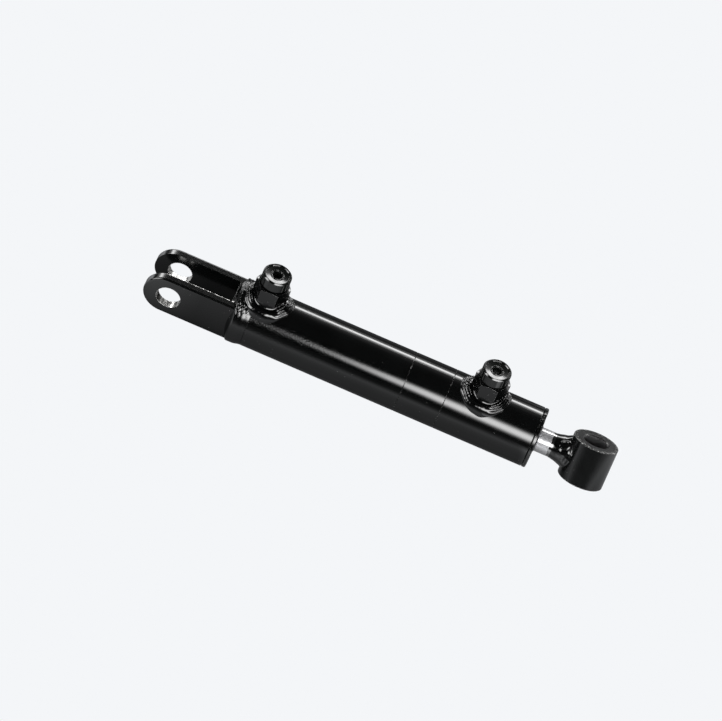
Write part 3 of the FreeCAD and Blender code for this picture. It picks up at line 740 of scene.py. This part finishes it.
def sheet_mesh(name, corners, material):
    """One flat four-cornered face of the stage."""
    mesh = bpy.data.meshes.new(name)
    mesh.from_pydata(corners, [], [(0, 1, 2, 3)])
    mesh.materials.append(material)
    sheet = bpy.data.objects.new(name, mesh)
    bpy.context.scene.collection.objects.link(sheet)
    return sheet


def glow_at(tree, source, table):
    """Brightness at a source value, from a table of places and levels in rising order."""
    low, high = table[0][0], table[-1][0]
    top = max(level for _, level in table)
    ramp = add(tree, "ValToRGB")
    elements = ramp.color_ramp.elements
    while len(elements) < len(table):
        elements.new(0.5)
    for element, (place, level) in zip(elements, table):
        element.position = (place - low) / (high - low)
        grey = level / top
        element.color = (grey, grey, grey, 1)
    tree.links.new(spread(tree, source, 0.0, 1.0, low, high), ramp.inputs["Fac"])
    return maths(tree, "MULTIPLY", ramp.outputs["Color"], top)


PALE = (0.905, 0.92, 0.94)
FLOOR_REACH = 12.0
# brightness of the floor in reflections, by distance in front or past the ends, in metres
FLOOR_GLOW = ((-0.20, 0.12), (0.0, 0.10), (0.030, 0.13), (0.045, 0.32), (0.07, 0.50), (0.16, 1.0),
              (0.30, 0.5), (0.60, 0.2), (1.5, 0.1))
# and how much brighter it is towards the two ends, by place along the barrel
END_GLOW = ((-0.05, 2.1), (-0.02, 2.1), (0.03, 1.0), (0.385, 1.0), (0.400, 3.2), (0.425, 2.8),
            (0.445, 1.8), (0.475, 1.2), (0.52, 1.1))


def add_floor():
    """Wide pale floor, dim in reflections where the object shades it."""
    material, tree, glow = emission("pale_floor")
    seen = add(tree, "LightPath").outputs["Is Camera Ray"]
    axes = axes_of(tree, object_place(tree))
    past_eye = maths(tree, "SUBTRACT", axes["X"], CAD_BOX[1][0] - 30 * MM)
    past_tip = maths(tree, "SUBTRACT", CAD_BOX[0][0], axes["X"])
    ahead = maths(tree, "MAXIMUM", maths(tree, "MAXIMUM", past_eye, past_tip),
                  maths(tree, "MULTIPLY", axes["Y"], -1.0))
    reflected = maths(tree, "MULTIPLY", glow_at(tree, ahead, FLOOR_GLOW),
                      glow_at(tree, axes["X"], END_GLOW))
    glow.inputs["Color"].default_value = (*PALE, 1)
    tree.links.new(mixed_value(tree, seen, reflected, 1.0), glow.inputs["Strength"])
    height = CAD_BOX[0][2] - MM
    reach = FLOOR_REACH
    corners = [(-reach, -reach, height), (reach, -reach, height), (reach, reach, height),
               (-reach, reach, height)]
    sheet_mesh("floor", corners, material)


# brightness of the studio by angle round the barrel: 0 level in front, 90 overhead, 180 level behind
STUDIO_GLOW = ((-180, 0.10), (-90, 0.12), (-5, 0.2), (0, 0.12), (5, 0.06), (60, 0.04), (100, 0.05),
               (118, 0.10), (152, 0.10), (159, 2.0), (166, 0.3), (173, 0.12), (180, 0.10))


def turn_about_barrel(tree, y, z):
    """Angle of a direction round the barrel's axis, in degrees."""
    angle = maths(tree, "ARCTAN2", z, maths(tree, "MULTIPLY", y, -1.0))
    return maths(tree, "MULTIPLY", angle, 180 / math.pi)


def add_world():
    """Studio seen in reflections, and a pale backdrop where the camera looks straight at it."""
    world = bpy.data.worlds.new("studio")
    bpy.context.scene.world = world
    world.use_nodes = True
    tree = world.node_tree
    tree.nodes.clear()
    axes = axes_of(tree, add(tree, "TexCoord").outputs["Generated"])
    angle = turn_about_barrel(tree, axes["Y"], axes["Z"])
    studio = add(tree, "Background")
    tree.links.new(glow_at(tree, angle, STUDIO_GLOW), studio.inputs["Strength"])
    pale = add(tree, "Background")
    pale.inputs["Color"].default_value = (*PALE, 1)
    mix = add(tree, "MixShader")
    output = add(tree, "OutputWorld")
    tree.links.new(add(tree, "LightPath").outputs["Is Camera Ray"], mix.inputs["Fac"])
    tree.links.new(studio.outputs["Background"], mix.inputs[1])
    tree.links.new(pale.outputs["Background"], mix.inputs[2])
    tree.links.new(mix.outputs["Shader"], output.inputs["Surface"])


LIGHT_DISTANCE = 1.3


def angle_point(x, degrees):
    """A point round the barrel's axis: 0 is level at the front, 90 overhead, 180 level behind."""
    angle = math.radians(degrees)
    return (x, -LIGHT_DISTANCE * math.cos(angle), LIGHT_DISTANCE * math.sin(angle))


def add_panel(name, ends, turns, material):
    """A light panel along the barrel, between two places and two angles, hidden from the camera."""
    low, high = ends
    first, last = turns
    corners = [angle_point(low, first), angle_point(high, first), angle_point(high, last),
               angle_point(low, last)]
    panel = sheet_mesh(name, corners, material)
    panel.visible_camera = False


SOFTBOX_STRENGTH = 18.0
SOFTBOX_ENDS = (-0.4, 3.0)
SOFTBOX_TURNS = (12, 58)
SOFTBOX_MIDDLE = 35.0
SOFTBOX_MIDDLE_AT_CLEVIS = 32.8
SOFTBOX_WIDTHS = (6.0, 12.0)
SOFTBOX_WIDENS_X = (0.107, 0.347)
SOFTBOX_RISES_X = (0.19, 0.275)
SOFTBOX_SHARPNESS = 2.7
SOFTBOX_FULL_X = 0.40
SOFTBOX_FADE = 0.225


def falloff(tree, distance, width, power):
    """A flat-topped bell curve of a distance."""
    scaled = maths(tree, "DIVIDE", maths(tree, "ABSOLUTE", distance), width)
    return maths(tree, "EXPONENT", maths(tree, "MULTIPLY", maths(tree, "POWER", scaled, power), -1.0))


def add_softbox():
    """Front softbox that narrows and fades towards the clevis end."""
    material, tree, glow = emission("front_softbox")
    axes = axes_of(tree, object_place(tree))
    angle = turn_about_barrel(tree, axes["Y"], axes["Z"])
    width = spread(tree, axes["X"], *SOFTBOX_WIDTHS, *SOFTBOX_WIDENS_X)
    middle = spread(tree, axes["X"], SOFTBOX_MIDDLE_AT_CLEVIS, SOFTBOX_MIDDLE, *SOFTBOX_RISES_X)
    across = falloff(tree, maths(tree, "SUBTRACT", angle, middle), width, SOFTBOX_SHARPNESS)
    short = maths(tree, "MAXIMUM", maths(tree, "SUBTRACT", SOFTBOX_FULL_X, axes["X"]), 0.0)
    along = falloff(tree, short, SOFTBOX_FADE, 3.2)
    level = maths(tree, "MULTIPLY", maths(tree, "MULTIPLY", across, along), SOFTBOX_STRENGTH)
    tree.links.new(level, glow.inputs["Strength"])
    add_panel("front_softbox", SOFTBOX_ENDS, SOFTBOX_TURNS, material)


CARD_STRENGTH = 14.0
CARD_ENDS = (-9.0, -0.5)
CARD_TURNS = (22, 58)
CARD_FADES_X = (-1.2, -0.6)


def add_card():
    """Soft card beyond the clevis end, seen only by faces that lean that way."""
    material, tree, glow = emission("end_card")
    axes = axes_of(tree, object_place(tree))
    along = spread(tree, axes["X"], 1.0, 0.0, *CARD_FADES_X)
    tree.links.new(maths(tree, "MULTIPLY", along, CARD_STRENGTH), glow.inputs["Strength"])
    add_panel("end_card", CARD_ENDS, CARD_TURNS, material)


STRIP_STRENGTH = 15.0
STRIP_ENDS = (-2.2, 2.6)
STRIP_MIDDLE = 148.5
STRIP_WIDTH = 5.2
SPILL_RISES_X = (0.055, 0.105)
# soft spill in front of the strip, by angle round the barrel
SPILL_GLOW = ((118, 0.10), (124, 0.20), (130, 0.45), (135, 1.0), (139, 1.5), (143, 1.2), (148, 0.0),
              (158, 0.0))


def add_strip():
    """Narrow strip light behind, along the whole barrel, with a soft spill that fades at the clevis."""
    material, tree, glow = emission("back_strip")
    axes = axes_of(tree, object_place(tree))
    angle = turn_about_barrel(tree, axes["Y"], axes["Z"])
    across = falloff(tree, maths(tree, "SUBTRACT", angle, STRIP_MIDDLE), STRIP_WIDTH, 3.0)
    strip = maths(tree, "MULTIPLY", across, STRIP_STRENGTH)
    along = spread(tree, axes["X"], 0.22, 1.0, *SPILL_RISES_X)
    spill = maths(tree, "MULTIPLY", glow_at(tree, angle, SPILL_GLOW), along)
    tree.links.new(maths(tree, "ADD", strip, spill), glow.inputs["Strength"])
    add_panel("back_strip", STRIP_ENDS, (SPILL_GLOW[0][0], SPILL_GLOW[-1][0]), material)


VIEW_ELEVATION = 44.83
VIEW_AZIMUTH = -0.4
VIEW_ROLL = 23.05
VIEW_DISTANCE = 5.4226
VIEW_LENS = 270.6
VIEW_TARGET = Vector((0.2013, 0.0002, 0.0023))


def add_camera():
    """Long lens from the front and above, rolled so that the rod end points down to the right."""
    elevation = math.radians(VIEW_ELEVATION)
    azimuth = math.radians(VIEW_AZIMUTH)
    roll = math.radians(VIEW_ROLL)
    forward = Vector((math.sin(azimuth) * math.cos(elevation),
                      math.cos(azimuth) * math.cos(elevation), -math.sin(elevation)))
    level = forward.cross(Vector((0, 0, 1))).normalized()
    upright = level.cross(forward)
    right = level * math.cos(roll) + upright * math.sin(roll)
    up = right.cross(forward)
    turn = Matrix((right, up, -forward)).transposed().to_4x4()
    data = bpy.data.cameras.new("camera")
    data.sensor_width = 36.0
    data.sensor_fit = "HORIZONTAL"
    data.lens = VIEW_LENS
    data.clip_end = 100.0
    camera = bpy.data.objects.new("camera", data)
    camera.matrix_world = Matrix.Translation(VIEW_TARGET - forward * VIEW_DISTANCE) @ turn
    bpy.context.scene.collection.objects.link(camera)
    bpy.context.scene.camera = camera


add_floor()
add_world()
add_softbox()
add_card()
add_strip()
add_camera()
bpy.context.scene.view_settings.view_transform = "Standard"
